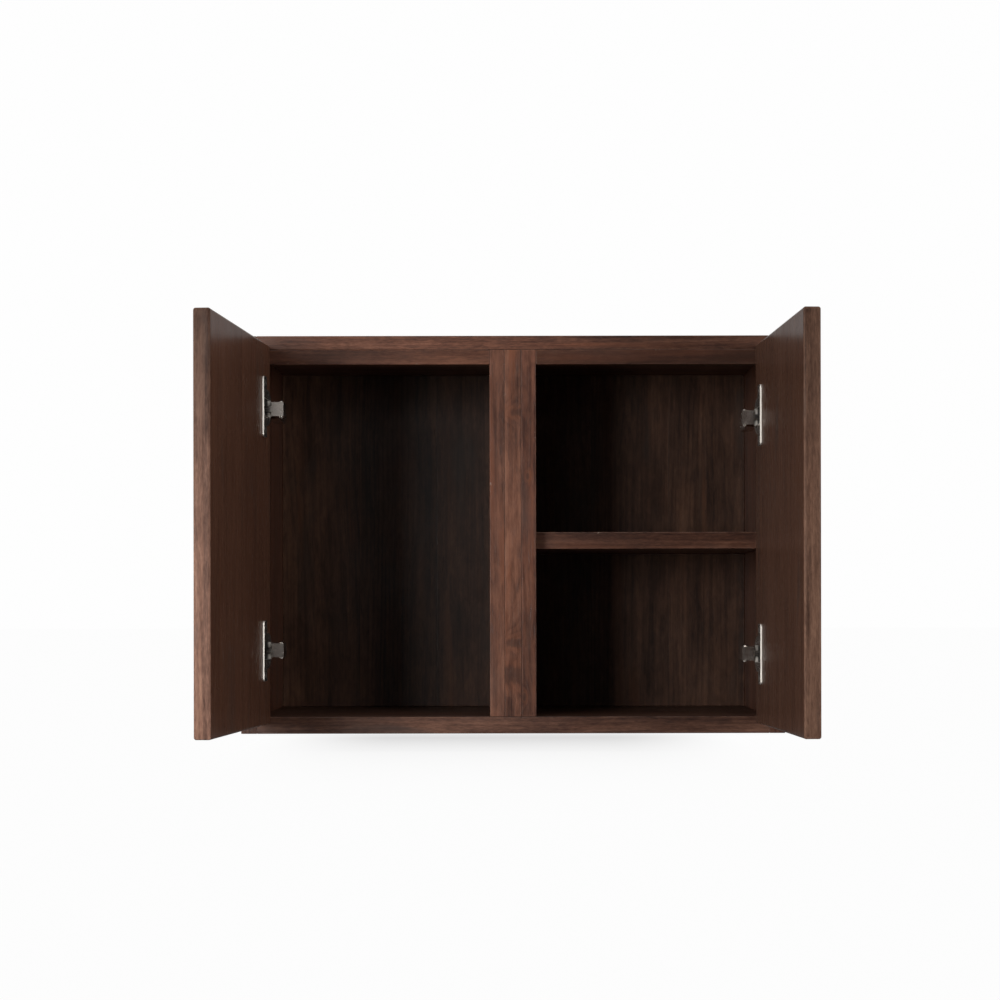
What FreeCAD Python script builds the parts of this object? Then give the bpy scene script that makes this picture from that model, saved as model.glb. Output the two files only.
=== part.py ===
import FreeCAD, Part
import os
import Sketcher

# Wall-mounted two-door cabinet in dark stained wood. Millimetres.
# Frame: +X to the right of a person facing the cabinet, +Y into the wall, +Z up.
# The origin is the centre of the upper hanging rail's rear face, on the wall plane.

V = FreeCAD.Vector
os.makedirs("parts", exist_ok=True)
doc = FreeCAD.newDocument("wall_cabinet")

# ---------------------------------------------------------------- dimensions
sheet = doc.addObject("Spreadsheet::Sheet", "Dims")
DIMS = [
    ("cab_width", 550), ("cab_height", 402), ("cab_depth", 250),
    ("side_thick", 16), ("top_thick", 14), ("floor_thick", 17),
    ("divider_thick", 17), ("facing_width", 15), ("facing_depth", 20),
    ("rail_height", 15), ("back_thick", 8), ("back_setback", 20),
    ("hang_rail_height", 60), ("foot_rail_height", 40),
    ("shelf_thick", 17), ("shelf_under", 187.2), ("shelf_gap", 0.25), ("shelf_front_gap", 0.5),
    ("board_round", 0.8), ("door_round", 2.2),
    ("door_thick", 15.5), ("door_reveal", 10.5), ("door_lap", 1), ("door_gap", 2), ("door_meet", 1.5),
    ("pin_inset", 6.5), ("pin_depth", 8.5),
    ("left_open", 94.6), ("right_open", 92.7),
    ("left_upper_level", 327), ("left_lower_level", 84.6),
    ("right_upper_level", 317.8), ("right_lower_level", 80.6),
    ("cup_radius", 17.5), ("cup_wall", 0.8), ("cup_deep", 12), ("cup_edge", 3),
    ("flange_thick", 1.8), ("flange_length", 60), ("flange_reach", 18.5), ("flange_round", 3), ("flange_land", 0.5), ("flange_draft", 0.57), ("cup_window", 17.2), ("sink_neck", 1.6), ("sink_rim", 3.2), ("sink_play", 0.12),
    ("pin_radius", 1.25), ("pin_length", 16), ("pin_play", 0.05),
    ("arm_width", 14), ("plate_thick", 2.5), ("plate_length", 44),
    ("dowel_radius", 4), ("dowel_length", 30), ("dowel_play", 0.05),
    ("peg_radius", 3), ("peg_length", 24), ("peg_in", 8), ("peg_play", 0.05),
    ("hanger_space", 360), ("hanger_width", 24), ("hanger_tall", 56), ("hanger_thick", 2),
    ("key_radius", 5), ("key_slot", 5.2), ("key_rise", 12),
]
for i, (alias, value) in enumerate(DIMS, start=1):
    sheet.set("A%d" % i, alias)
    sheet.set("B%d" % i, str(value))
    sheet.setAlias("B%d" % i, alias)
doc.recompute()


def dim(alias):
    return float(sheet.get(alias))


# Height of the cabinet's underside below the origin.
BASE = "(Dims.top_thick + Dims.hang_rail_height / 2 - Dims.cab_height)"
base = dim("top_thick") + dim("hang_rail_height") / 2 - dim("cab_height")
FRONT = "(-Dims.cab_depth)"
INNER = "(Dims.cab_width / 2 - Dims.side_thick)"
HALF = "(Dims.divider_thick / 2)"
BACK_FACE = "(-Dims.back_setback - Dims.back_thick)"
inner = dim("cab_width") / 2 - dim("side_thick")
front = -dim("cab_depth")

sub_parts = []
serial = [0]


def name(stem):
    serial[0] += 1
    return "%s_%03d" % (stem, serial[0])


def keep(obj, label):
    obj.Label = label
    sub_parts.append(obj)
    return obj


# ---------------------------------------------------------------- builders
def board_body(label, size, place, round_alias):
    """A planed board: a rectangle padded to its height, with every arris eased."""
    body = doc.addObject("PartDesign::Body", name("Board"))
    body.Label = label
    plane = [f for f in body.Origin.OriginFeatures if f.Role == "XY_Plane"][0]
    sk = body.newObject("Sketcher::SketchObject", name("Outline"))
    sk.AttachmentSupport = [(plane, "")]
    sk.MapMode = "FlatFace"
    a, b = 10.0, 7.0
    pts = [V(0, 0, 0), V(a, 0, 0), V(a, b, 0), V(0, b, 0)]
    for k in range(4):
        sk.addGeometry(Part.LineSegment(pts[k], pts[(k + 1) % 4]), False)
    for k in range(4):
        sk.addConstraint(Sketcher.Constraint("Coincident", k, 2, (k + 1) % 4, 1))
    sk.addConstraint(Sketcher.Constraint("Horizontal", 0))
    sk.addConstraint(Sketcher.Constraint("Horizontal", 2))
    sk.addConstraint(Sketcher.Constraint("Vertical", 1))
    sk.addConstraint(Sketcher.Constraint("Vertical", 3))
    sk.addConstraint(Sketcher.Constraint("Coincident", 0, 1, -1, 1))
    cx = sk.addConstraint(Sketcher.Constraint("DistanceX", 0, 1, 0, 2, a))
    cy = sk.addConstraint(Sketcher.Constraint("DistanceY", 1, 1, 1, 2, b))
    sk.setExpression("Constraints[%d]" % cx, size[0])
    sk.setExpression("Constraints[%d]" % cy, size[1])
    pad = body.newObject("PartDesign::Pad", name("Pad"))
    pad.Profile = sk
    pad.setExpression("Length", size[2])
    doc.recompute()
    fil = body.newObject("PartDesign::Fillet", name("Eased"))
    fil.Base = (pad, ["Edge%d" % k for k in range(1, 13)])
    fil.setExpression("Radius", "Dims." + round_alias)
    body.Tip = fil
    if isinstance(place, FreeCAD.Placement):
        body.Placement = place
    else:
        for axis, expr in zip("xyz", place):
            body.setExpression("Placement.Base." + axis, expr)
    doc.recompute()
    return body


def rod(radius, height, base_point, direction, frame=None):
    """A cylinder from base_point along direction; sizes are expressions."""
    c = doc.addObject("Part::Cylinder", name("Rod"))
    c.setExpression("Radius", radius)
    c.setExpression("Height", height)
    local = FreeCAD.Placement(V(*base_point), FreeCAD.Rotation(V(0, 0, 1), V(*direction)))
    c.Placement = local if frame is None else frame.multiply(local)
    return c


def cone(neck, rim, height, base_point, direction):
    """A countersink shape that widens from base_point along direction; sizes are expressions."""
    c = doc.addObject("Part::Cone", name("Cone"))
    c.setExpression("Radius1", neck)
    c.setExpression("Radius2", rim)
    c.setExpression("Height", height)
    c.Placement = FreeCAD.Placement(V(*base_point), FreeCAD.Rotation(V(0, 0, 1), V(*direction)))
    return c


def block(low, high):
    """A box between two corners, numbers worked out from the sheet."""
    lo = [min(p, q) for p, q in zip(low, high)]
    hi = [max(p, q) for p, q in zip(low, high)]
    b = doc.addObject("Part::Box", name("Block"))
    b.Length, b.Width, b.Height = [q - p for p, q in zip(lo, hi)]
    b.Placement = FreeCAD.Placement(V(*lo), FreeCAD.Rotation())
    return b


def fuse(*objs):
    f = doc.addObject("Part::MultiFuse", name("Fuse"))
    f.Shapes = list(objs)
    f.Refine = True
    return f


def cut(base_obj, *tools):
    c = doc.addObject("Part::Cut", name("Cut"))
    c.Base = base_obj
    c.Tool = tools[0] if len(tools) == 1 else fuse(*tools)
    return c


def common(base_obj, tool):
    c = doc.addObject("Part::Common", name("Common"))
    c.Base, c.Tool = base_obj, tool
    return c


def prism(points, low, high):
    """A polygon in plan raised from low to high."""
    body = doc.addObject("PartDesign::Body", name("Prism"))
    plane = [f for f in body.Origin.OriginFeatures if f.Role == "XY_Plane"][0]
    sk = body.newObject("Sketcher::SketchObject", name("Profile"))
    sk.AttachmentSupport = [(plane, "")]
    sk.MapMode = "FlatFace"
    sk.AttachmentOffset = FreeCAD.Placement(V(0, 0, low), FreeCAD.Rotation())
    n = len(points)
    for k in range(n):
        sk.addGeometry(Part.LineSegment(V(*points[k], 0), V(*points[(k + 1) % n], 0)), False)
    for k in range(n):
        sk.addConstraint(Sketcher.Constraint("Coincident", k, 2, (k + 1) % n, 1))
    pad = body.newObject("PartDesign::Pad", name("Pad"))
    pad.Profile = sk
    pad.Length = high - low
    doc.recompute()
    return body


def group(label, objs):
    """Identical loose pieces kept together as one node of separate solids."""
    doc.recompute()
    c = doc.addObject("Part::Compound", name("Group"))
    c.Links = list(objs)
    return keep(c, label)


# ---------------------------------------------------------------- carcass boards
# Corner dowels: two in each joint between a side and the top or bottom board.
DOWEL_Y = (-205.0, -60.0)
dowels, side_holes, top_holes, floor_holes = [], {-1: [], 1: []}, [], []
top_mid = base + dim("cab_height") - dim("top_thick") / 2
floor_mid = base + dim("floor_thick") / 2
for sx in (-1, 1):
    for y in DOWEL_Y:
        for level, holes in ((top_mid, top_holes), (floor_mid, floor_holes)):
            start = sx * (inner - dim("dowel_length") * 2 / 3)
            dowels.append(rod("Dims.dowel_radius", "Dims.dowel_length", (start, y, level), (sx, 0, 0)))
            side_holes[sx].append(rod("Dims.dowel_radius + Dims.dowel_play", "Dims.dowel_length / 3 + 0.4",
                                      (sx * inner, y, level), (sx, 0, 0)))
            holes.append(rod("Dims.dowel_radius + Dims.dowel_play", "Dims.dowel_length * 2 / 3 + 0.4",
                             (sx * (inner + 0.0), y, level), (-sx, 0, 0)))

# Shelf dowels: two in the divider and two in the right side, hidden in the shelf's ends.
PEG_Y = (-190.0, -60.0)
peg_level = base + dim("shelf_under") + dim("shelf_thick") / 2
pegs, divider_holes, shelf_holes = [], [], []
for y in PEG_Y:
    for wall, way, holes in ((dim("divider_thick") / 2, 1, divider_holes), (inner, -1, side_holes[1])):
        pegs.append(rod("Dims.peg_radius", "Dims.peg_length", (wall - way * dim("peg_in"), y, peg_level), (way, 0, 0)))
        holes.append(rod("Dims.peg_radius + Dims.peg_play", "Dims.peg_in + 0.4", (wall, y, peg_level), (-way, 0, 0)))
        shelf_holes.append(rod("Dims.peg_radius + Dims.peg_play", "Dims.peg_length - Dims.peg_in + 0.4",
                               (wall, y, peg_level), (way, 0, 0)))

# Pilot holes for the hinge plates' screws, 37 mm back from the front edge.
PLATE_Y = front + 36.5
LEVELS = {-1: ("left_upper_level", "left_lower_level"), 1: ("right_upper_level", "right_lower_level")}
PLATE_SCREW_Z = 16.0
for sx in (-1, 1):
    for alias in LEVELS[sx]:
        for dz in (-PLATE_SCREW_Z, PLATE_SCREW_Z):
            side_holes[sx].append(rod("1.8", "10.4", (sx * inner, PLATE_Y, base + dim(alias) + dz), (sx, 0, 0)))

body = board_body("top_board", ("2 * " + INNER, "Dims.cab_depth", "Dims.top_thick"),
                  ("-" + INNER, FRONT, BASE + " + Dims.cab_height - Dims.top_thick"), "board_round")
keep(cut(body, *top_holes), "top_panel")
body = board_body("floor_board", ("2 * " + INNER, "Dims.cab_depth", "Dims.floor_thick"),
                  ("-" + INNER, FRONT, BASE), "board_round")
keep(cut(body, *floor_holes), "bottom_panel")
for sx, side in ((-1, "left"), (1, "right")):
    x0 = "-Dims.cab_width / 2" if sx < 0 else INNER
    body = board_body(side + "_side_board", ("Dims.side_thick", "Dims.cab_depth", "Dims.cab_height"),
                      (x0, FRONT, BASE), "board_round")
    keep(cut(body, *side_holes[sx]), side + "_side_panel")

BETWEEN = "(Dims.cab_height - Dims.top_thick - Dims.floor_thick)"
FLOOR_TOP = BASE + " + Dims.floor_thick"
body = board_body("divider_board", ("Dims.divider_thick", "Dims.cab_depth - Dims.back_setback - Dims.back_thick", BETWEEN),
                  ("-" + HALF, FRONT, FLOOR_TOP), "board_round")
keep(cut(body, *divider_holes), "centre_divider")
for sx, side in ((-1, "left"), (1, "right")):
    x0 = "-%s - Dims.facing_width" % HALF if sx < 0 else HALF
    keep(board_body(side + "_divider_facing", ("Dims.facing_width", "Dims.facing_depth", BETWEEN),
                    (x0, FRONT, FLOOR_TOP), "board_round"), side + "_divider_facing")
    x0 = "-" + INNER if sx < 0 else HALF + " + Dims.facing_width"
    keep(board_body(side + "_top_rail", (INNER + " - %s - Dims.facing_width" % HALF, "Dims.facing_depth", "Dims.rail_height"),
                    (x0, FRONT, BASE + " + Dims.cab_height - Dims.top_thick - Dims.rail_height"), "board_round"),
         side + "_top_rail")
keep(board_body("back_panel", ("2 * " + INNER, "Dims.back_thick", BETWEEN),
                ("-" + INNER, BACK_FACE, FLOOR_TOP), "board_round"), "back_panel")
shelf_back = "Dims.cab_depth - Dims.facing_depth - Dims.shelf_front_gap - Dims.back_setback - Dims.back_thick - Dims.shelf_gap"
body = board_body("shelf_board", (INNER + " - %s - 2 * Dims.shelf_gap" % HALF, shelf_back, "Dims.shelf_thick"),
                  (HALF + " + Dims.shelf_gap", FRONT + " + Dims.facing_depth + Dims.shelf_front_gap",
                   BASE + " + Dims.shelf_under"), "board_round")
keep(cut(body, *shelf_holes), "shelf")
keep(board_body("lower_spacer_rail", ("2 * " + INNER, "Dims.back_setback", "Dims.foot_rail_height"),
                ("-" + INNER, "-Dims.back_setback", FLOOR_TOP), "board_round"), "lower_spacer_rail")

group("corner_dowels", dowels)
group("shelf_dowels", pegs)

# ---------------------------------------------------------------- wall hangers
# Two keyhole plates let in flush to the rear face of the upper hanging rail.
rail = board_body("hanging_rail_board", ("2 * " + INNER, "Dims.back_setback", "Dims.hang_rail_height"),
                  ("-" + INNER, "-Dims.back_setback", "-Dims.hang_rail_height / 2"), "board_round")
hw, ht, th = dim("hanger_width") / 2, dim("hanger_tall") / 2, dim("hanger_thick")
KEY_LOW = -7.0
SCREW_OUT = 21.0
rail_cuts, hanger_screws = [], []
for sx, side in ((-1, "left"), (1, "right")):
    x = sx * dim("hanger_space") / 2
    plate = block((x - hw, -th, -ht), (x + hw, 0, ht))
    entry = rod("Dims.key_radius", "Dims.hanger_thick + 2", (x, -th - 1, KEY_LOW), (0, 1, 0))
    slot = block((x - dim("key_slot") / 2, -th - 1, KEY_LOW), (x + dim("key_slot") / 2, 1, KEY_LOW + dim("key_rise")))
    slot_end = rod("Dims.key_slot / 2", "Dims.hanger_thick + 2", (x, -th - 1, KEY_LOW + dim("key_rise")), (0, 1, 0))
    holes = [rod("2.2", "Dims.hanger_thick + 2", (x, -th - 1, dz), (0, 1, 0)) for dz in (-SCREW_OUT, SCREW_OUT)]
    keep(cut(plate, entry, slot, slot_end, *holes), side + "_keyhole_hanger")
    rail_cuts.append(block((x - hw - 0.2, -th, -ht - 0.2), (x + hw + 0.2, 1, ht + 0.2)))
    rail_cuts.append(block((x - 8, -14, KEY_LOW - 8), (x + 8, -th + 0.5, KEY_LOW + dim("key_rise") + 8)))
    for dz in (-SCREW_OUT, SCREW_OUT):
        rail_cuts.append(rod("1.8", "16", (x, -17, dz), (0, 1, 0)))
        shank = rod("1.7", "14.2", (x, -15, dz), (0, 1, 0))
        head = rod("3.6", "0.8", (x, -0.8, dz), (0, 1, 0))
        hanger_screws.append((shank, head, x, dz))
keep(cut(rail, *rail_cuts), "upper_hanging_rail")
# The screw heads stand on the plates' rear recess, inside the wall plane.
screws = []
for shank, head, x, dz in hanger_screws:
    screws.append(fuse(shank, head))
for obj in list(sub_parts):
    if obj.Label.endswith("_keyhole_hanger"):
        sink = [rod("3.7", "2", (s[2], -0.9, s[3]), (0, 1, 0)) for s in hanger_screws
                if (s[2] < 0) == obj.Label.startswith("left")]
        sub_parts.remove(obj)
        plain = obj.Label
        obj.Label = plain + "_blank"
        keep(cut(obj, *sink), plain)
group("hanger_screws", screws)

# ---------------------------------------------------------------- doors and hinges
pin_a = dim("pin_inset") - dim("door_lap")
pin_x = inner - pin_a
pin_y = front - dim("door_gap") - dim("pin_depth")
door_width = inner + dim("door_lap") - dim("door_meet")
door_height = dim("cab_height") - 2 * dim("door_reveal")
cup_u = dim("cup_edge") + dim("cup_radius") - dim("pin_inset")
mouth = dim("pin_depth")
flange_out = mouth + dim("flange_thick")
CUP_SCREW_U, CUP_SCREW_Z = cup_u + 10.5, 24.0

for sx, side in ((-1, "left"), (1, "right")):
    # m carries a plan distance from the hinge towards the cabinet's middle into +X or -X.
    m = -sx
    angle = dim(side + "_open")
    turn = FreeCAD.Rotation(V(0, 0, 1), sx * angle)
    plate_screws, cup_screws, adjusters, door_holes = [], [], [], []
    for alias in LEVELS[sx]:
        which = "upper" if "upper" in alias else "lower"
        level = base + dim(alias)
        stem = "%s_%s_hinge" % (side, which)
        door_frame = FreeCAD.Placement(V(sx * pin_x, pin_y, level), turn)
        wall_frame = FreeCAD.Placement(V(sx * pin_x, pin_y, level), FreeCAD.Rotation())

        # Cup pressed into the door, with its screw flange and the two lugs that hold the pin.
        cup = rod("Dims.cup_radius", "Dims.cup_deep", (m * cup_u, mouth - dim("cup_deep"), 0), (0, 1, 0))
        ring = rod("Dims.cup_radius + 0.4", "Dims.flange_thick", (m * cup_u, mouth, 0), (0, 1, 0))
        # Screw flange: one straight bar along the cup's rim, its outer edge bevelled and its two outer corners rounded.
        near, reach, half_len, round_r = cup_u + 4, cup_u + dim("flange_reach"), dim("flange_length") / 2, dim("flange_round")
        bar = [(near, mouth), (reach, mouth), (reach, mouth + dim("flange_land")), (reach - dim("flange_draft"), flange_out), (near, flange_out)]
        bar = [(m * p, q) for p, q in bar]
        if m < 0:
            bar.reverse()
        corners = [rod("Dims.flange_round", "Dims.flange_thick + 2", (m * (reach - round_r), mouth - 1, dz), (0, 1, 0))
                   for dz in (round_r - half_len, half_len - round_r)]
        limit = fuse(block((m * near, mouth - 1, -half_len), (m * (reach - round_r), flange_out + 1, half_len)),
                     block((m * near, mouth - 1, round_r - half_len), (m * (reach + 0.5), flange_out + 1, half_len - round_r)), *corners)
        wings = common(prism(bar, -half_len, half_len), limit)
        # The cup is hollow below its mouth, and the flange leaves a window for the arm.
        hollow = rod("Dims.cup_radius - Dims.cup_wall", "Dims.cup_deep - Dims.cup_wall",
                     (m * cup_u, mouth - dim("cup_deep") + dim("cup_wall"), 0), (0, 1, 0))
        half_win = dim("cup_window") / 2
        window = common(rod("Dims.cup_radius - Dims.cup_wall", "Dims.flange_thick + 3", (m * cup_u, mouth - 2, 0), (0, 1, 0)),
                        block((m * (cup_u - 20), mouth - 3, -half_win), (m * (cup_u + 20), flange_out + 2, half_win)))
        shell = cut(fuse(cup, ring, wings), hollow, window)
        lug_low = mouth - dim("cup_deep") + dim("cup_wall") - 0.3
        lugs = fuse(block((m * -4.2, lug_low, 3.3), (m * 3.0, 3.0, 9.6)), block((m * -4.2, lug_low, -9.6), (m * 3.0, 3.0, -3.3)))
        bound = rod("Dims.cup_radius - Dims.cup_wall / 2", "Dims.cup_deep - 1", (m * cup_u, mouth - dim("cup_deep") + 0.4, 0), (0, 1, 0))
        whole = fuse(shell, common(lugs, bound))
        pin_hole = rod("Dims.pin_radius", "Dims.pin_length", (0, 0, -dim("pin_length") / 2), (0, 0, 1))
        screw_holes = [rod("1.9", "6", (m * CUP_SCREW_U, mouth - 2, dz), (0, 1, 0)) for dz in (-CUP_SCREW_Z, CUP_SCREW_Z)]
        sinks = [cone("Dims.sink_neck + Dims.sink_play", "Dims.sink_rim + Dims.sink_play", "Dims.flange_thick",
                      (m * CUP_SCREW_U, mouth, dz), (0, 1, 0)) for dz in (-CUP_SCREW_Z, CUP_SCREW_Z)]
        cup_done = keep(cut(whole, pin_hole, *screw_holes, *sinks), stem + "_cup")
        cup_done.Placement = door_frame

        pin = keep(rod("Dims.pin_radius", "Dims.pin_length", (0, 0, -dim("pin_length") / 2), (0, 0, 1), door_frame), stem + "_pin")

        for dz in (-CUP_SCREW_Z, CUP_SCREW_Z):
            # Countersunk screw, flush with the flange, with a cross recess.
            shank = rod("Dims.sink_neck", "10.6", (m * CUP_SCREW_U, mouth - 10, dz), (0, 1, 0))
            head = cone("Dims.sink_neck", "Dims.sink_rim", "Dims.flange_thick", (m * CUP_SCREW_U, mouth, dz), (0, 1, 0))
            bars = [block((m * CUP_SCREW_U - a, flange_out - 0.8, dz - b), (m * CUP_SCREW_U + a, flange_out + 1, dz + b))
                    for a, b in ((1.7, 0.35), (0.35, 1.7))]
            done = cut(fuse(shank, head), *bars)
            done.Placement = door_frame
            cup_screws.append(done)
            door_holes.append(rod("1.7", "11.5", (m * CUP_SCREW_U, mouth - 10.4, dz), (0, 1, 0), door_frame))
        door_holes.append(rod("Dims.cup_radius", "Dims.cup_deep + 1", (m * cup_u, mouth - dim("cup_deep"), 0), (0, 1, 0), door_frame))

        # Cranked arm: a barrel on the pin, a tongue out of the cup, a nose and a channel over the plate.
        hw2 = dim("arm_width") / 2
        outline = [(17.0, -1.6), (23.0, -1.6), (23.0, 21.0), (15.5, 33.0), (15.5, 80.0), (4.5, 80.0), (4.5, 30.0), (17.0, 18.0)]
        outline = [(m * p, q) for p, q in outline]
        if m < 0:
            outline.reverse()
        trunk = prism(outline, -hw2, hw2)
        barrel = rod("2.1", "6", (0, 0, -3), (0, 0, 1))
        tongue = block((0, -1.6, -3), (m * 13.0, 0.6, 3))
        web = block((m * 11.0, -1.6, -hw2), (m * 18.0, 0.6, hw2))
        rivets = [rod("2.1", "16.4", (m * 20.2, 2.6, -8.2), (0, 0, 1)), rod("1.7", "15.8", (m * 19.9, 12.5, -7.9), (0, 0, 1))]
        solid = fuse(trunk, barrel, tongue, web, *rivets)
        bore = rod("Dims.pin_radius + Dims.pin_play", "10", (0, 0, -5), (0, 0, 1))
        channel = block((m * 3.0, 35.0, -5.5), (m * 14.0, 82.0, 5.5))
        relief = block((m * 13.0, 3.5, -5.5), (m * 21.5, 9.0, 5.5))
        caps = [rod("2.0", "6", (m * 12.0, yy, 0), (m, 0, 0)) for yy in (46.0, 71.0)]
        arm = keep(cut(solid, bore, channel, relief, *caps), stem + "_arm")
        arm.Placement = wall_frame

        # Mounting plate screwed to the side board, with the saddle the arm clips over.
        foot_x = -pin_a
        plate_y = PLATE_Y - pin_y
        wing = block((m * foot_x, plate_y - 9, -dim("plate_length") / 2), (m * (foot_x + dim("plate_thick")), plate_y + 9, dim("plate_length") / 2))
        saddle = block((m * foot_x, 38.0, -5.2), (m * 13.5, 78.0, 5.2))
        threads = [rod("1.9", "11", (m * 3.0, yy, 0), (m, 0, 0)) for yy in (46.0, 71.0)]
        plate_holes = [rod("1.8", "6", (m * (foot_x - 1), plate_y, dz), (m, 0, 0)) for dz in (-PLATE_SCREW_Z, PLATE_SCREW_Z)]
        plate = keep(cut(fuse(wing, saddle), *threads, *plate_holes), stem + "_plate")
        plate.Placement = wall_frame

        for dz in (-PLATE_SCREW_Z, PLATE_SCREW_Z):
            shank = rod("1.7", "13", (m * (foot_x - 10), plate_y, dz), (m, 0, 0))
            head = rod("3.3", "1.6", (m * (foot_x + dim("plate_thick")), plate_y, dz), (m, 0, 0))
            top = foot_x + dim("plate_thick") + 1.6
            bars = [block((m * (top - 1.1), plate_y - a, dz - b), (m * (top + 1), plate_y + a, dz + b))
                    for a, b in ((1.8, 0.4), (0.4, 1.8))]
            done = cut(fuse(shank, head), *bars)
            done.Placement = wall_frame
            plate_screws.append(done)
        for yy in (46.0, 71.0):
            shank = rod("1.8", "11", (m * 5.0, yy, 0), (m, 0, 0))
            head = rod("3.2", "1.5", (m * 15.5, yy, 0), (m, 0, 0))
            slot = block((m * 16.4, yy - 0.5, -4), (m * 18.0, yy + 0.5, 4))
            done = cut(fuse(shank, head), slot)
            done.Placement = wall_frame
            adjusters.append(done)

    # Door: one solid board with two cup bores, standing open about the hinge pins.
    z_low = base + dim("door_reveal")
    frame = FreeCAD.Placement(V(sx * pin_x, pin_y, z_low), turn)
    corner_x = -dim("pin_inset") if m > 0 else dim("pin_inset") - door_width
    local = FreeCAD.Placement(V(corner_x, mouth - dim("door_thick"), 0), FreeCAD.Rotation())
    body = board_body(side + "_door_board", (INNER + " + Dims.door_lap - Dims.door_meet", "Dims.door_thick",
                                             "Dims.cab_height - 2 * Dims.door_reveal"), frame.multiply(local), "door_round")
    keep(cut(body, *door_holes), side + "_door")
    group(side + "_cup_screws", cup_screws)
    group(side + "_plate_screws", plate_screws)
    group(side + "_hinge_adjusters", adjusters)

# ---------------------------------------------------------------- checks and files
doc.recompute()
bad = [o.Name for o in doc.Objects if any(w in ("Invalid", "Error") for w in o.State)]
for o in sub_parts:
    if o.Shape.isNull() or not o.Shape.isValid() or not o.Shape.Solids:
        bad.append(o.Label)
if bad:
    raise RuntimeError("failed objects: %s" % bad)
labels = [o.Label for o in sub_parts]
if len(set(labels)) != len(labels):
    raise RuntimeError("labels repeat")
for o in sub_parts:
    o.Shape.exportStep("parts/%s.step" % o.Label)
    print("%-28s solids %d volume %.1f" % (o.Label, len(o.Shape.Solids), o.Shape.Volume))
print(len(sub_parts), "sub-parts; pin", pin_x, pin_y, "base", base)
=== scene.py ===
import math

import bpy
from mathutils import Matrix, Vector

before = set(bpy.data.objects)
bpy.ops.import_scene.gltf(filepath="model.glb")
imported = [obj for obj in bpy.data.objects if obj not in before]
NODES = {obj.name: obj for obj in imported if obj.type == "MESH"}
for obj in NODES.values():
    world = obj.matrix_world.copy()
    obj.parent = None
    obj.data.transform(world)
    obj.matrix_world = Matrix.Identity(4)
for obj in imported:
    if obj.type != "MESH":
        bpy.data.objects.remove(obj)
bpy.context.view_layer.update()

scene = bpy.context.scene

PIN_X, PIN_Y = 0.2535, -0.2605
LEFT_OPEN, RIGHT_OPEN = math.radians(94.6), math.radians(92.7)


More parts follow.
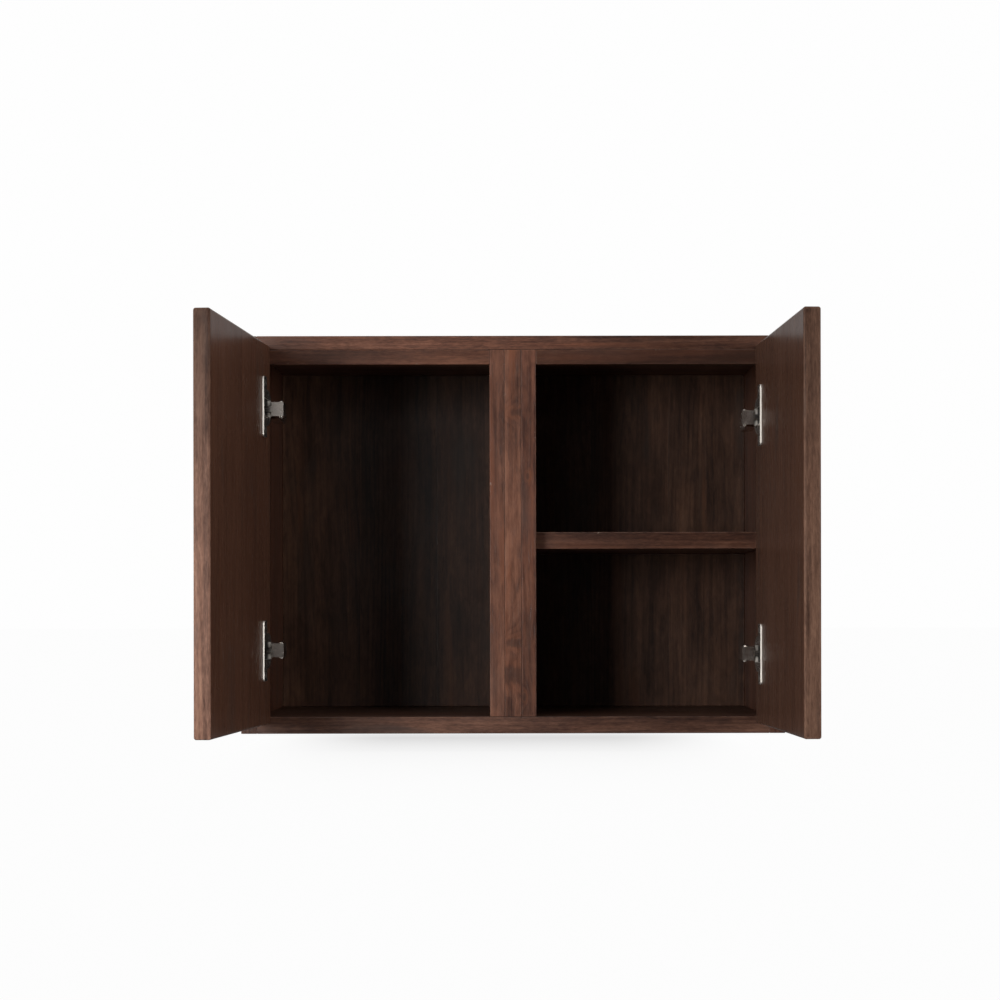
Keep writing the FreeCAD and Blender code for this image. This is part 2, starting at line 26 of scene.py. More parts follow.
# ------------------------------------------------------------------ node helper
class Graph:
    """A small builder for shader node trees: sockets and plain numbers mix freely."""

    def __init__(self, mat):
        mat.use_nodes = True
        self.tree = mat.node_tree
        self.tree.nodes.clear()
        self.count = 0

    def node(self, kind, **props):
        n = self.tree.nodes.new(kind)
        self.count += 1
        n.location = ((self.count % 9) * 220, -(self.count // 9) * 240)
        for k, v in props.items():
            setattr(n, k, v)
        return n

    def put(self, value, socket):
        if isinstance(value, bpy.types.NodeSocket):
            self.tree.links.new(value, socket)
        else:
            socket.default_value = value

    def math(self, op, a, b=None, c=None, clamp=False):
        n = self.node("ShaderNodeMath", operation=op, use_clamp=clamp)
        for value, socket in zip((a, b, c), n.inputs):
            if value is not None:
                self.put(value, socket)
        return n.outputs[0]

    def add(self, a, b):
        return self.math("ADD", a, b)

    def mul(self, a, b):
        return self.math("MULTIPLY", a, b)

    def sub(self, a, b):
        return self.math("SUBTRACT", a, b)

    def sep(self, vec):
        n = self.node("ShaderNodeSeparateXYZ")
        self.put(vec, n.inputs[0])
        return n.outputs[0], n.outputs[1], n.outputs[2]

    def comb(self, x, y, z):
        n = self.node("ShaderNodeCombineXYZ")
        for value, socket in zip((x, y, z), n.inputs):
            self.put(value, socket)
        return n.outputs[0]

    def stretch(self, uvw, su, sv, sw):
        return self.comb(self.mul(uvw[0], su), self.mul(uvw[1], sv), self.mul(uvw[2], sw))

    def noise(self, vec, scale=1.0, detail=3.0, rough=0.55, distort=0.0):
        n = self.node("ShaderNodeTexNoise", noise_dimensions="3D")
        self.put(vec, n.inputs["Vector"])
        n.inputs["Scale"].default_value = scale
        n.inputs["Detail"].default_value = detail
        n.inputs["Roughness"].default_value = rough
        n.inputs["Distortion"].default_value = distort
        return n.outputs["Fac"], n.outputs["Color"]

    def smooth(self, value, low, high, out_low=0.0, out_high=1.0):
        n = self.node("ShaderNodeMapRange", interpolation_type="SMOOTHSTEP")
        self.put(value, n.inputs["Value"])
        for key, v in (("From Min", low), ("From Max", high), ("To Min", out_low), ("To Max", out_high)):
            self.put(v, n.inputs[key])
        return n.outputs["Result"]

    def linear(self, value, low, high, out_low, out_high):
        n = self.node("ShaderNodeMapRange", interpolation_type="LINEAR", clamp=True)
        self.put(value, n.inputs["Value"])
        for key, v in (("From Min", low), ("From Max", high), ("To Min", out_low), ("To Max", out_high)):
            self.put(v, n.inputs[key])
        return n.outputs["Result"]

    def ramp(self, fac, stops, mode="LINEAR"):
        n = self.node("ShaderNodeValToRGB")
        n.color_ramp.interpolation = mode
        els = n.color_ramp.elements
        while len(els) < len(stops):
            els.new(0.5)
        for e, (pos, col) in zip(els, stops):
            e.position = pos
            e.color = (*col, 1.0)
        self.put(fac, n.inputs[0])
        return n.outputs["Color"]

    def mix(self, fac, a, b, blend="MIX"):
        n = self.node("ShaderNodeMix", data_type="RGBA", blend_type=blend, clamp_factor=True)
        self.put(fac, n.inputs[0])
        for value, socket in ((a, n.inputs[6]), (b, n.inputs[7])):
            self.put((*value, 1.0) if isinstance(value, tuple) and len(value) == 3 else value, socket)
        return n.outputs[2]

    def scale_color(self, col, factor):
        n = self.node("ShaderNodeVectorMath", operation="SCALE")
        self.put(col, n.inputs[0])
        self.put(factor, n.inputs["Scale"])
        return n.outputs[0]

    def bump(self, height, strength, distance):
        n = self.node("ShaderNodeBump")
        n.inputs["Strength"].default_value = strength
        n.inputs["Distance"].default_value = distance
        self.put(height, n.inputs["Height"])
        return n.outputs["Normal"]

    def surface(self, color, rough, normal, metallic=0.0, level=0.5, coat=0.0, coat_rough=0.3):
        p = self.node("ShaderNodeBsdfPrincipled")
        self.put(color, p.inputs["Base Color"])
        self.put(rough, p.inputs["Roughness"])
        self.put(normal, p.inputs["Normal"])
        p.inputs["Metallic"].default_value = metallic
        p.inputs["Specular IOR Level"].default_value = level
        p.inputs["Coat Weight"].default_value = coat
        p.inputs["Coat Roughness"].default_value = coat_rough
        out = self.node("ShaderNodeOutputMaterial")
        self.tree.links.new(p.outputs[0], out.inputs["Surface"])


def local_box(node, turn=None):
    """The node's corners in its own board directions: an open door is turned back first."""
    pts = [v.co for v in NODES[node].data.vertices]
    if turn is not None:
        pts = [turn @ p for p in pts]
    low = Vector([min(p[k] for p in pts) for k in range(3)])
    high = Vector([max(p[k] for p in pts) for k in range(3)])
    return low, high


# ------------------------------------------------------------------ stained wood
STAIN = [(0.20, (0.0360, 0.0138, 0.0088)), (0.40, (0.0790, 0.0305, 0.0180)),
         (0.55, (0.1190, 0.0465, 0.0270)), (0.72, (0.1740, 0.0700, 0.0400)), (0.90, (0.2200, 0.0940, 0.0550))]


def wood(node, axes, seed, stave=None, turn=None, tone=1.0, red=1.0, contrast=1.0, ring=0.0042,
         wear=1.0, knots=(), stain=STAIN, gloss=0.0, edge_contrast=1.4, light_drift=None, edge_light_drift=None, edge_tint=None, figure=1.0,
         shine=0.20, tint=(1.0, 1.0, 1.0), relief=0.42, face_shade=1.0, fold=False, soft=0.0, seam=None):
    """Solid wood with the grain along axes[2], the board's width along axes[0] and thickness along axes[1].
    Wide boards are glued up from staves, each with its own heart, tone and figure."""
    mat = bpy.data.materials.new("wood_" + node)
    g = Graph(mat)

    def stained(r, gr, b):
        return (r * tint[0], gr * tint[1], b * tint[2])

    low, high = local_box(node, turn)
    place = g.node("ShaderNodeTexCoord").outputs["Object"]
    if turn is not None:
        m = g.node("ShaderNodeMapping", vector_type="POINT")
        g.put(place, m.inputs["Vector"])
        m.inputs["Rotation"].default_value = turn.to_euler()
        m.inputs["Location"].default_value = turn.translation
        place = m.outputs[0]
    xyz = dict(zip("xyz", g.sep(place)))
    order = ["xyz".index(a) for a in axes]
    u, v, w = (xyz[a] for a in axes)

    # Distance to the nearest arris, for the worn edges.
    gaps = []
    for k, a in enumerate("xyz"):
        mid, half = (low[k] + high[k]) / 2, (high[k] - low[k]) / 2
        gaps.append(g.sub(half, g.math("ABSOLUTE", g.sub(xyz[a], mid))))
    edge = g.math("MAXIMUM", g.math("MINIMUM", gaps[0], gaps[1]),
                  g.math("MINIMUM", g.math("MAXIMUM", gaps[0], gaps[1]), gaps[2]))

    # Staves.
    width = high[order[0]] - low[order[0]]
    stave = width if stave is None else stave
    s = g.math("DIVIDE", g.sub(u, low[order[0]]), stave)
    index = g.math("FLOOR", s)
    part = g.math("FRACT", s)
    dice = g.node("ShaderNodeTexWhiteNoise", noise_dimensions="1D")
    g.put(g.add(index, seed * 3.17 + 0.4), dice.inputs["W"])
    r1, r2, r3 = g.sep(dice.outputs["Color"])
    su = g.mul(g.sub(part, 0.5), stave)
    vv = g.sub(v, (low[order[1]] + high[order[1]]) / 2)
    uvw = (g.add(su, g.mul(r1, 7.0)), g.add(vv, g.mul(r2, 5.0)), g.add(w, g.add(g.mul(r3, 9.0), seed * 0.731)))

    # Wandering grain, and knots that the grain flows around.
    _, sway = g.noise(g.stretch(uvw, 9.0, 9.0, 2.6), detail=2.0, rough=0.5)
    sx, sy, _ = g.sep(sway)
    du = g.mul(g.sub(sx, 0.5), 0.030 * figure)
    dv = g.mul(g.sub(sy, 0.5), 0.022 * figure)
    swell, heart, halo = 0.0, 0.0, 0.0
    if knots:
        ragged, _ = g.noise(g.stretch(uvw, 260.0, 260.0, 70.0), detail=3.0, rough=0.6)
    for centre, size in knots:
        a = g.math("DIVIDE", g.add(g.sub(u, centre[order[0]]), g.mul(du, 0.12)), size)
        b = g.math("DIVIDE", g.sub(v, centre[order[1]]), size * 6.0)
        c = g.math("DIVIDE", g.sub(w, centre[order[2]]), size * 2.3)
        d = g.math("SQRT", g.add(g.add(g.mul(a, a), g.mul(b, b)), g.mul(c, c)))
        d = g.add(d, g.mul(g.sub(ragged, 0.5), 0.9))
        swell = g.add(swell, g.mul(g.math("EXPONENT", g.mul(g.mul(d, d), -0.22)), 2.4))
        heart = g.math("MAXIMUM", heart, g.mul(g.smooth(d, 1.15, 0.45),
                                               g.linear(g.math("SINE", g.mul(d, 11.0)), -1.0, 1.0, 0.86, 1.0)))
        halo = g.math("MAXIMUM", halo, g.mul(g.smooth(d, 2.3, 1.0), g.smooth(a, -1.2, 1.0, 0.25, 1.0)))

    # Growth rings about a heart that lies off the board and leans a little.
    lean = g.mul(w, g.mul(g.sub(r2, 0.5), 0.10))
    cu = g.add(g.add(g.sub(su, g.mul(g.sub(r1, 0.5), stave * 0.9)), du), lean)
    cv = g.add(g.add(vv, dv), g.add(0.018, g.mul(r3, 0.05)))
    dist = g.math("SQRT", g.add(g.mul(cu, cu), g.mul(cv, cv)))
    phase = g.add(g.math("DIVIDE", dist, ring), swell)
    year = g.math("FRACT", phase)
    late = g.mul(g.smooth(year, 0.30, 0.86), g.smooth(year, 1.0, 0.90))
    turn_of_year, _ = g.noise(g.comb(g.mul(g.math("FLOOR", phase), 0.37), g.mul(r1, 11.0), 0.0), scale=1.0, detail=1.0)
    late = g.mul(late, g.linear(turn_of_year, 0.25, 0.75, 0.25, 1.0))

    bent = (g.add(uvw[0], g.mul(du, 0.55)), g.add(uvw[1], g.mul(dv, 0.55)), uvw[2])
    streak, _ = g.noise(g.stretch(bent, 95.0, 95.0, 2.4), detail=3.0, rough=0.60)
    fibre, _ = g.noise(g.stretch(bent, 430.0, 430.0, 9.0), detail=3.0, rough=0.62)
    hair, _ = g.noise(g.stretch(bent, 1500.0, 1500.0, 42.0), detail=2.0, rough=0.60)
    blotch, _ = g.noise(g.stretch(uvw, 26.0, 26.0, 7.0), detail=4.0, rough=0.58, distort=0.3)
    pore_n, _ = g.noise(g.stretch(bent, 1150.0, 1150.0, 62.0), detail=1.0, rough=0.5)
    pore = g.mul(g.smooth(pore_n, 0.63, 0.74), g.linear(year, 0.0, 0.6, 1.0, 0.35))

    fleck, _ = g.noise(g.stretch(bent, 780.0, 780.0, 150.0), detail=2.0, rough=0.65)
    mottle, _ = g.noise(g.stretch(uvw, 150.0, 150.0, 46.0), detail=3.0, rough=0.60, distort=0.6)

    # Softly figured pieces have less fibre and fleck in them, and more cloud.
    plain = 0.16 * soft + 0.05 * soft + 0.03 * soft
    level = g.add(g.add(g.mul(streak, 0.24), g.mul(fibre, 0.16 - 0.05 * soft)),
                  g.add(g.mul(blotch, 0.24 + plain * 0.6), g.mul(hair, 0.06 - 0.03 * soft)))
    level = g.add(level, g.add(g.mul(fleck, 0.17 - 0.16 * soft), g.mul(mottle, 0.13 + plain * 0.4)))
    narrow = g.smooth(gaps[order[0]], 0.0040, 0.0015, contrast, contrast * edge_contrast)
    level = g.add(0.5, g.mul(g.sub(level, 0.5), g.mul(narrow, 2.05)))
    level = g.add(level, g.mul(g.sub(r3, 0.5), 0.085 * contrast))
    level = g.sub(level, g.mul(late, 0.105 * contrast))
    col = g.ramp(level, [(at, stained(*c)) for at, c in stain])
    # Grey-brown clouds where the stain took unevenly, and warm streaks beside them.
    cloud, _ = g.noise(g.stretch(uvw, 34.0, 34.0, 8.0), detail=3.0, rough=0.5, distort=0.4)
    col = g.mix(g.smooth(cloud, 0.56, 0.74, 0.0, 0.50), col, stained(0.0700, 0.0390, 0.0290))
    warm, _ = g.noise(g.stretch(bent, 70.0, 70.0, 3.1), detail=2.0, rough=0.5)
    col = g.mix(g.smooth(warm, 0.57, 0.75, 0.0, 0.42 * red), col, stained(0.1850, 0.0600, 0.0280))
    col = g.mix(g.mul(pore, 0.55), col, (0.0150, 0.0065, 0.0048))
    if knots:
        col = g.mix(g.mul(halo, 0.34), col, (0.2000, 0.0660, 0.0300))
        col = g.mix(g.mul(heart, 0.66), col, (0.0360, 0.0185, 0.0140))
    # End grain drinks more stain.
    nrm = g.sep(g.node("ShaderNodeNewGeometry").outputs["Normal"])
    end = g.smooth(g.math("ABSOLUTE", nrm["xyz".index(axes[2])]), 0.55, 0.95)
    col = g.scale_color(col, g.linear(end, 0.0, 1.0, tone, tone * 0.66))
    # Painted shade can darken the broad faces, and painted light and shade can lighten or darken the front and the
    # planed edges along their length.
    across = [g.smooth(g.math("ABSOLUTE", nrm["xyz".index(a)]), 0.55, 0.95) for a in axes[:2]]
    # Painted shade: the broad faces are scaled darker by a set factor per board.
    if face_shade != 1.0:
        col = g.scale_color(col, g.linear(across[1], 0.0, 1.0, 1.0, face_shade))
    # Painted light and shade on the front: lighter or darker along the board's length.
    if light_drift:
        along = g.sub(g.smooth(g.math("ABSOLUTE", w) if fold else w, *light_drift), 1.0)
        on_front = across[0] if axes == "yzx" else 1.0
        col = g.scale_color(col, g.add(1.0, g.mul(on_front, along)))
    # Painted light on the planed near edge of a door: lighter or darker along its length, with a colour tint.
    if edge_light_drift:
        on_edge = g.smooth(gaps[order[0]], 0.0022, 0.0010)
        col = g.scale_color(col, g.add(1.0, g.mul(on_edge, g.sub(g.smooth(w, *edge_light_drift), 1.0))))
        if edge_tint:
            col = g.mix(on_edge, col, edge_tint, blend="MULTIPLY")
    # A dark line on the front where this piece meets its neighbours.
    if seam:
        meets = g.smooth(gaps["xyz".index(seam)], 0.0002, 0.0009, 0.50, 0.0)
        col = g.scale_color(col, g.sub(1.0, g.mul(across[order.index(1)], meets)))
    # Glue lines between the staves.
    glue = 0.0
    if stave < width * 0.9:
        near = g.mul(g.sub(0.5, g.math("ABSOLUTE", g.sub(part, 0.5))), stave)
        glue = g.smooth(near, 0.00045, 0.00010)
        col = g.scale_color(col, g.linear(glue, 0.0, 1.0, 1.0, 0.72))
    # Worn arrises: the stain is rubbed thin in an uneven line, with a few nicks.
    rub, _ = g.noise(g.stretch((xyz["x"], xyz["y"], xyz["z"]), 70.0, 70.0, 70.0), detail=4.0, rough=0.65)
    worn = g.mul(g.smooth(edge, 0.0016, 0.0002), g.smooth(rub, 0.36, 0.66))
    col = g.mix(g.mul(worn, 0.42 * wear), col, stained(0.2300, 0.1150, 0.0750))
    nick_n, _ = g.noise(g.stretch((xyz["x"], xyz["y"], xyz["z"]), 210.0, 210.0, 210.0), detail=1.0, rough=0.4)
    nick = g.mul(g.smooth(edge, 0.0024, 0.0006), g.smooth(nick_n, 0.735, 0.79))
    col = g.mix(g.mul(nick, 0.60 * wear), col, (0.3000, 0.2150, 0.1700))
    # Rubbed-in handling marks over the lacquer.
    haze, _ = g.noise(g.stretch((xyz["x"], xyz["y"], xyz["z"]), 11.0, 11.0, 11.0), detail=3.0, rough=0.6)

    rough = g.add(g.linear(haze, 0.30, 0.70, 0.31 - gloss, 0.40 - gloss), g.mul(g.sub(fibre, 0.5), 0.38 * relief))
    rough = g.add(rough, g.add(g.mul(pore, 0.22), g.mul(worn, 0.10)))
    height = g.add(g.mul(fibre, 0.55), g.add(g.mul(hair, 0.30), g.mul(late, 0.30)))
    height = g.sub(height, g.add(g.mul(pore, 0.9), g.add(g.mul(nick, 1.2), g.mul(glue, 0.8))))
    g.surface(col, rough, g.bump(height, relief, 0.00035), level=shine)
    obj = NODES[node]
    obj.data.materials.clear()
    obj.data.materials.append(mat)
    return mat


# ------------------------------------------------------------------ metals and bare wood
def metal(name, pale, dark, rough_low, rough_high, grain, spangle=0.0, dust=0.25, relief=0.22, cup_of=None, dull=0.0, metallic=1.0):
    """Plated pressed steel: fine drawing marks, cloudy plating and dull handling marks."""
    mat = bpy.data.materials.new(name)
    g = Graph(mat)
    place = g.node("ShaderNodeTexCoord").outputs["Object"]
    p = g.sep(place)
    lines, _ = g.noise(g.stretch(p, *grain), detail=3.0, rough=0.65)
    cloud, _ = g.noise(place, scale=160.0, detail=4.0, rough=0.6)
    speck, _ = g.noise(place, scale=900.0, detail=2.0, rough=0.5)
    level = g.add(g.mul(cloud, 0.6), g.mul(lines, 0.4))
    if spangle:
        cells = g.node("ShaderNodeTexVoronoi", feature="F1")
        g.put(place, cells.inputs["Vector"])
        cells.inputs["Scale"].default_value = 420.0
        cr, _, _ = g.sep(cells.outputs["Color"])
        level = g.add(level, g.mul(g.sub(cr, 0.5), spangle))
    col = g.ramp(level, [(0.28, dark), (0.50, tuple((a + b) / 2 for a, b in zip(pale, dark))), (0.72, pale)])
    col = g.mix(g.smooth(speck, 0.64, 0.72, 0.0, dust), col, tuple(0.45 * a for a in dark))
    rough = g.add(g.linear(cloud, 0.3, 0.7, rough_low, rough_high), g.mul(g.sub(lines, 0.5), 0.22))
    if cup_of is not None:
        m = g.node("ShaderNodeMapping", vector_type="POINT")
        g.put(place, m.inputs["Vector"])
        m.inputs["Rotation"].default_value = cup_of.to_euler()
        m.inputs["Location"].default_value = cup_of.translation
        # Painted shade inside the cup's hollow: below the mouth the colour falls to a tenth, and the metal is rougher
        # there.
        painted_shade_depth = g.smooth(g.sep(m.outputs[0])[1], PIN_Y + 0.0082, PIN_Y + 0.0060)
        col = g.scale_color(col, g.linear(painted_shade_depth, 0.0, 1.0, 1.0, 0.10))
        rough = g.add(rough, g.mul(painted_shade_depth, 0.25))
        # The flat of the flange is polished, and its pressed edge is duller.
        way = cup_of.inverted().to_3x3() @ Vector((0.0, 1.0, 0.0))
        n = g.sep(g.node("ShaderNodeTexCoord").outputs["Normal"])
        facing = g.add(g.add(g.mul(n[0], way.x), g.mul(n[1], way.y)), g.mul(n[2], way.z))
        rough = g.add(rough, g.smooth(facing, 0.90, 0.995, dull, -0.18))
    height = g.add(g.mul(lines, 0.6), g.mul(speck, 0.4))
    g.surface(col, rough, g.bump(height, relief, 0.00012), metallic=metallic)
    return mat


def bare_wood(name):
    mat = bpy.data.materials.new(name)
    g = Graph(mat)
    p = g.sep(g.node("ShaderNodeTexCoord").outputs["Object"])
    fibre, _ = g.noise(g.stretch(p, 14.0, 700.0, 700.0), detail=3.0, rough=0.6)
    fleck, _ = g.noise(g.stretch(p, 60.0, 1500.0, 1500.0), detail=2.0, rough=0.5)
    col = g.ramp(fibre, [(0.25, (0.30, 0.17, 0.085)), (0.55, (0.46, 0.29, 0.155)), (0.80, (0.56, 0.38, 0.22))])
    col = g.mix(g.smooth(fleck, 0.60, 0.72, 0.0, 0.5), col, (0.22, 0.115, 0.055))
    g.surface(col, g.linear(fibre, 0.3, 0.7, 0.55, 0.72), g.bump(fibre, 0.4, 0.0003))
    return mat


def dress(names, mat, bevel=None):
    for n in names:
        obj = NODES[n]
        obj.data.materials.clear()
        obj.data.materials.append(mat)
        if bevel:
            weld = obj.modifiers.new("weld", "WELD")
            weld.merge_threshold = 0.000002
            mod = obj.modifiers.new("eased", "BEVEL")
            mod.width = bevel
            mod.segments = 2
            mod.limit_method = "ANGLE"
            mod.angle_limit = math.radians(32)
            mod.harden_normals = True


# ------------------------------------------------------------------ boards
def about_pin(x, angle):
    """Turns an open door back to its closed place."""
    p = Vector((x, PIN_Y, 0.0))
    r = Matrix.Rotation(angle, 4, "Z")
    return Matrix.Translation(p) @ r @ Matrix.Translation(-p)


LEFT_BACK = about_pin(-PIN_X, LEFT_OPEN)
RIGHT_BACK = about_pin(PIN_X, -RIGHT_OPEN)

wood("top_panel", "yzx", 1, stave=0.0835, tone=1.06, contrast=1.20, figure=1.2, wear=0.6, tint=(1.0, 1.06, 1.12), light_drift=(0.0, 0.18, 1.94, 0.84), face_shade=0.90)
wood("bottom_panel", "yzx", 2, stave=0.0835, tone=1.30, contrast=1.05, figure=1.2, wear=0.7, red=0.6, tint=(1.0, 1.20, 1.36), face_shade=0.43, light_drift=(0.04, 0.16, 1.24, 0.96), fold=True)
wood("left_side_panel", "yxz", 3, stave=0.0625, tone=0.98)
wood("right_side_panel", "yxz", 4, stave=0.0625, tone=1.0)
wood("centre_divider", "yxz", 5, soft=0.55, seam="x", wear=0.3, tone=1.16, red=1.9, tint=(1.04, 1.10, 1.15), contrast=1.25, figure=1.2, knots=[((0.0010, -0.250, -0.2990), 0.0046), ((0.0042, -0.250, -0.2668), 0.0024), ((0.0068, -0.250, -0.0333), 0.0021)])
wood("left_divider_facing", "xyz", 6, soft=0.55, wear=0.6, tone=1.18, red=1.6, tint=(1.0, 1.06, 1.12), contrast=1.30, figure=1.2)
wood("right_divider_facing", "xyz", 7, soft=0.55, wear=0.6, tone=1.09, red=1.6, tint=(1.0, 1.03, 1.08), contrast=1.30, figure=1.2, light_drift=(-0.26, -0.06, 0.97, 1.42), knots=[((0.0104, -0.250, -0.3210), 0.0022), ((0.0145, -0.250, -0.0980), 0.0022)])
wood("left_top_rail", "zyx", 8, tone=0.93, contrast=1.2, figure=1.2, wear=0.5, light_drift=(-0.20, -0.10, 0.88, 1.02))
wood("right_top_rail", "zyx", 9, tone=0.51, contrast=1.1, figure=1.2, wear=0.5, light_drift=(0.10, 0.18, 1.18, 1.10))
wood("back_panel", "xyz", 10, soft=0.55, stave=0.0865, tone=0.56, wear=0.3, contrast=1.25, relief=0.14, tint=(1.0, 1.23, 1.29))
wood("shelf", "yzx", 11, stave=0.067, tone=1.26, tint=(1.03, 1.13, 1.21), face_shade=0.65)
wood("lower_spacer_rail", "zyx", 12, tone=0.62, wear=0.6)
wood("upper_hanging_rail", "zyx", 13, tone=0.64, wear=0.6)
wood("left_door", "xyz", 14, stave=0.0647, turn=LEFT_BACK, tone=1.0, contrast=0.42, edge_contrast=3.4, figure=1.2,
     gloss=0.10, shine=0.018, relief=0.10, red=0.4, tint=(1.03, 1.20, 1.29), edge_light_drift=(-0.24, 0.04, 2.38, 0.76), edge_tint=(1.08, 1.27, 1.44))
wood("right_door", "xyz", 15, stave=0.0647, turn=RIGHT_BACK, tone=0.95, contrast=0.45, edge_contrast=3.3, figure=1.2,
     gloss=0.10, shine=0.018, relief=0.10, red=0.3, tint=(1.0, 1.24, 1.39), light_drift=(-0.14, 0.02, 1.0, 0.82), edge_light_drift=(-0.28, 0.02, 1.95, 1.88), edge_tint=(1.03, 1.15, 1.20))

nickel = metal("nickel_plate", (0.66, 0.605, 0.555), (0.50, 0.46, 0.42), 0.18, 0.26, (60.0, 900.0, 900.0), dust=0.15, relief=0.10)
flange_look = ((0.60, 0.560, 0.510), (0.43, 0.398, 0.360), 0.34, 0.46, (900.0, 900.0, 70.0))
flange_metal = {"left": metal("nickel_flange_left", *flange_look, dust=0.15, cup_of=LEFT_BACK, dull=0.03, metallic=0.92),
                "right": metal("nickel_flange_right", *flange_look, dust=0.15, cup_of=RIGHT_BACK, dull=0.17, metallic=0.92)}
screw_metal = metal("nickel_screw", (0.60, 0.57, 0.52), (0.38, 0.355, 0.32), 0.28, 0.44, (500.0, 500.0, 500.0))
zinc = metal("zinc_plate", (0.56, 0.57, 0.55), (0.36, 0.365, 0.35), 0.34, 0.52, (700.0, 90.0, 90.0), spangle=0.35)
beech = bare_wood("bare_beech")

HINGES = ["%s_%s_hinge" % (s, l) for s in ("left", "right") for l in ("upper", "lower")]
for h in HINGES:
    dress([h + "_cup"], flange_metal[h.split("_")[0]], 0.00025)
dress([h + "_arm" for h in HINGES], nickel, 0.0008)
dress([h + "_plate" for h in HINGES], nickel, 0.0004)
dress([h + "_pin" for h in HINGES], screw_metal)
dress([s + k for s in ("left", "right") for k in ("_cup_screws", "_plate_screws", "_hinge_adjusters")] + ["hanger_screws"],
      screw_metal, 0.0003)
dress(["left_keyhole_hanger", "right_keyhole_hanger"], zinc, 0.0003)
dress(["corner_dowels", "shelf_dowels"], beech, 0.0006)


# ------------------------------------------------------------------ stage
def floor_material():
    mat = bpy.data.materials.new("pale_floor")
    g = Graph(mat)
    place = g.node("ShaderNodeTexCoord").outputs["Object"]
    n, _ = g.noise(place, scale=3.0, detail=4.0)
    col = g.ramp(n, [(0.3, (0.90, 0.90, 0.895)), (0.7, (0.93, 0.93, 0.925))])
    g.surface(col, g.linear(n, 0.3, 0.7, 0.6, 0.7), g.bump(n, 0.02, 0.001), level=0.2)
    out = [k for k in g.tree.nodes if k.type == "OUTPUT_MATERIAL"][0]
    matt = out.inputs["Surface"].links[0].from_socket
    x, y, _ = g.sep(place)
    # Painted shadow: the floor glows white but for a patch under the cabinet, where up to 36 % of the lamp-lit matt
    # floor shows, fading past the cabinet's ends and away from the wall plane.
    painted_shadow_across = g.smooth(g.math("ABSOLUTE", g.add(x, 0.015)), 0.11, 0.27, 1.0, 0.0)
    painted_shade_depth = g.math("EXPONENT", g.mul(g.math("ABSOLUTE", y), -5.2))
    lit = g.node("ShaderNodeEmission")
    lit.inputs["Strength"].default_value = 0.98
    both = g.node("ShaderNodeMixShader")
    g.put(g.sub(1.0, g.mul(g.mul(painted_shadow_across, painted_shade_depth), 0.36)), both.inputs[0])
    g.tree.links.new(matt, both.inputs[1])
    g.tree.links.new(lit.outputs[0], both.inputs[2])
    g.tree.links.new(both.outputs[0], out.inputs["Surface"])
    return mat


mesh = bpy.data.meshes.new("floor")
FLOOR_Z = -0.376
mesh.from_pydata([(-14, -14, FLOOR_Z), (14, -14, FLOOR_Z), (14, 14, FLOOR_Z), (-14, 14, FLOOR_Z)], [], [(0, 1, 2, 3)])
floor = bpy.data.objects.new("floor", mesh)
scene.collection.objects.link(floor)
floor.data.materials.append(floor_material())
floor.visible_diffuse = False
floor.visible_glossy = False

world = bpy.data.worlds.new("studio")
scene.world = world
world.use_nodes = True
wt = world.node_tree
wt.nodes.clear()
seen = wt.nodes.new("ShaderNodeBackground")
seen.inputs["Color"].default_value = (1.0, 1.0, 1.0, 1.0)
seen.inputs["Strength"].default_value = 0.99
glow = wt.nodes.new("ShaderNodeBackground")
glow.inputs["Color"].default_value = (1.0, 1.0, 1.0, 1.0)
ways = wt.nodes.new("ShaderNodeTexCoord")
split = wt.nodes.new("ShaderNodeSeparateXYZ")
fade = wt.nodes.new("ShaderNodeMapRange")
fade.interpolation_type = "SMOOTHSTEP"
for key, v in (("From Min", -0.35), ("From Max", 0.45), ("To Min", 0.03), ("To Max", 0.74)):
    fade.inputs[key].default_value = v
wt.links.new(ways.outputs["Generated"], split.inputs[0])
wt.links.new(split.outputs["Y"], fade.inputs["Value"])
path = wt.nodes.new("ShaderNodeLightPath")
# Polished pieces mirror pale walls and floor all round, but for the dim part straight in front.
walls = wt.nodes.new("ShaderNodeMapRange")
walls.interpolation_type = "SMOOTHSTEP"
for key, v in (("From Min", -0.95), ("From Max", -0.80), ("To Min", 0.03), ("To Max", 0.55)):
    walls.inputs[key].default_value = v
wt.links.new(split.outputs["Y"], walls.inputs["Value"])
paler = wt.nodes.new("ShaderNodeMath")
paler.operation = "MAXIMUM"
wt.links.new(fade.outputs["Result"], paler.inputs[0])
wt.links.new(walls.outputs["Result"], paler.inputs[1])
# The floor that runs on behind is in shade.
behind = wt.nodes.new("ShaderNodeMapRange")
behind.interpolation_type = "SMOOTHSTEP"
for key, v in (("From Min", 0.30), ("From Max", 0.70), ("To Min", 0.0), ("To Max", 0.80)):
    behind.inputs[key].default_value = v
under = wt.nodes.new("ShaderNodeMapRange")
under.interpolation_type = "SMOOTHSTEP"
for key, v in (("From Min", -0.09), ("From Max", -0.01), ("To Min", 1.0), ("To Max", 0.0)):
    under.inputs[key].default_value = v
wt.links.new(split.outputs["Y"], behind.inputs["Value"])
wt.links.new(split.outputs["Z"], under.inputs["Value"])
shade = wt.nodes.new("ShaderNodeMath")
shade.operation = "MULTIPLY"
wt.links.new(behind.outputs["Result"], shade.inputs[0])
wt.links.new(under.outputs["Result"], shade.inputs[1])
keep = wt.nodes.new("ShaderNodeMath")
keep.operation = "SUBTRACT"
keep.inputs[0].default_value = 1.0
wt.links.new(shade.outputs[0], keep.inputs[1])
mirrored = wt.nodes.new("ShaderNodeMath")
mirrored.operation = "MULTIPLY"
wt.links.new(paler.outputs[0], mirrored.inputs[0])
wt.links.new(keep.outputs[0], mirrored.inputs[1])
choose = wt.nodes.new("ShaderNodeMix")
choose.data_type = "FLOAT"
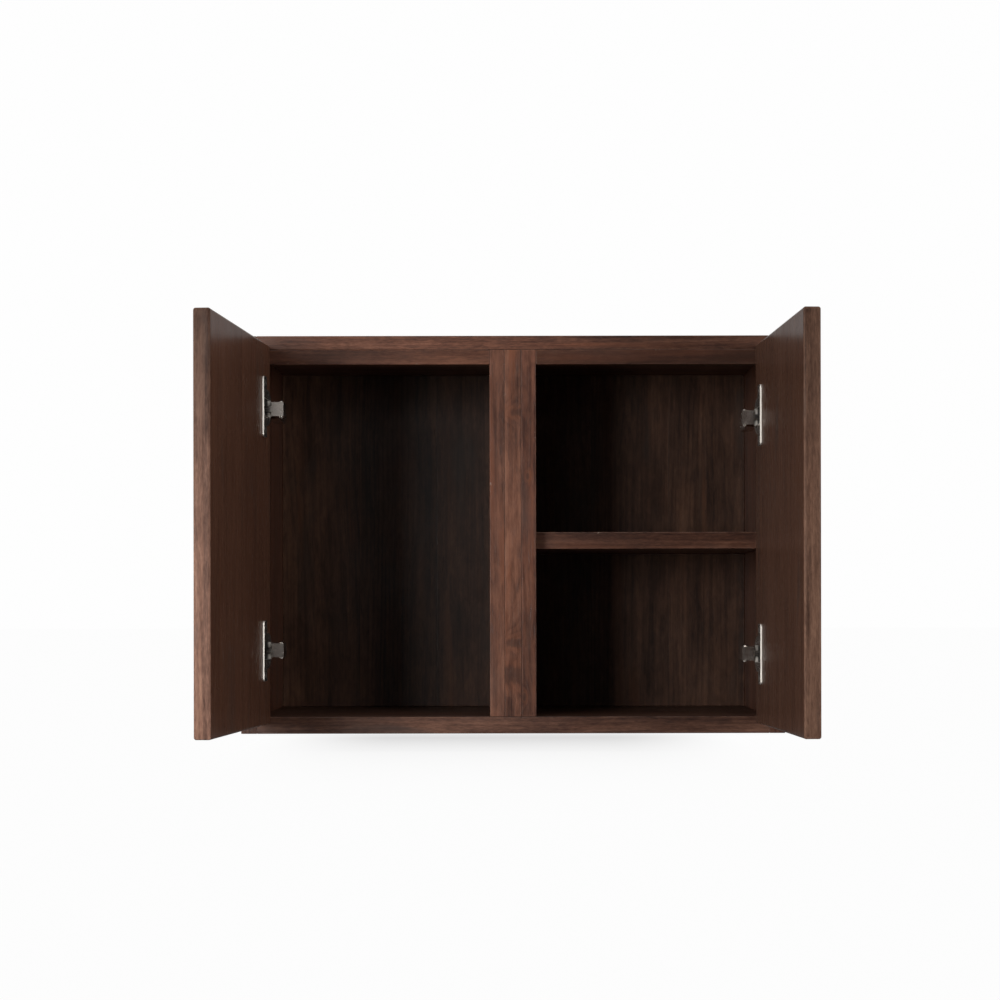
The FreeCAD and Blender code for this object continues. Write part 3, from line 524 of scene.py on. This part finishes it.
wt.links.new(path.outputs["Is Glossy Ray"], choose.inputs[0])
wt.links.new(fade.outputs["Result"], choose.inputs[2])
wt.links.new(mirrored.outputs[0], choose.inputs[3])
wt.links.new(choose.outputs[0], glow.inputs["Strength"])
both = wt.nodes.new("ShaderNodeMixShader")
wout = wt.nodes.new("ShaderNodeOutputWorld")
wt.links.new(path.outputs["Is Camera Ray"], both.inputs[0])
wt.links.new(glow.outputs[0], both.inputs[1])
wt.links.new(seen.outputs[0], both.inputs[2])
wt.links.new(both.outputs[0], wout.inputs["Surface"])


def softbox(name, place, aim, size, power, tint=(1.0, 1.0, 1.0)):
    lamp = bpy.data.lights.new(name, "AREA")
    lamp.shape = "RECTANGLE"
    lamp.size, lamp.size_y = size
    lamp.energy = power
    lamp.color = tint
    obj = bpy.data.objects.new(name, lamp)
    obj.location = place
    obj.rotation_euler = (Vector(aim) - Vector(place)).to_track_quat("-Z", "Y").to_euler()
    scene.collection.objects.link(obj)
    return obj


softbox("key", (-1.14, -2.35, -0.12), (0.0, -0.30, -0.15), (0.7, 1.0), 42.4)
softbox("fill", (1.45, -2.15, -0.12), (0.0, -0.30, -0.15), (0.7, 1.0), 21.0)
softbox("top", (0.0, -0.60, 1.60), (0.0, -0.30, 0.0), (1.2, 0.7), 9.0)
card = softbox("card", (-0.46, -2.45, 0.17), (-0.20, -0.30, -0.03), (0.55, 0.80), 0.86)
card.visible_diffuse = False

# ------------------------------------------------------------------ camera and colour
cam_data = bpy.data.cameras.new("camera")
cam_data.sensor_width = 36.0
cam_data.sensor_fit = "HORIZONTAL"
cam_data.lens = 72.0
cam_data.shift_x = -0.0200
cam_data.shift_y = 0.11075
camera = bpy.data.objects.new("camera", cam_data)
camera.location = (0.007, -2.271, -0.234)
camera.rotation_euler = (math.radians(90.0), math.radians(0.10), 0.0)
scene.collection.objects.link(camera)
scene.camera = camera

scene.view_settings.view_transform = "Standard"
scene.view_settings.look = "None"
scene.view_settings.exposure = 0.0
scene.view_settings.gamma = 1.0
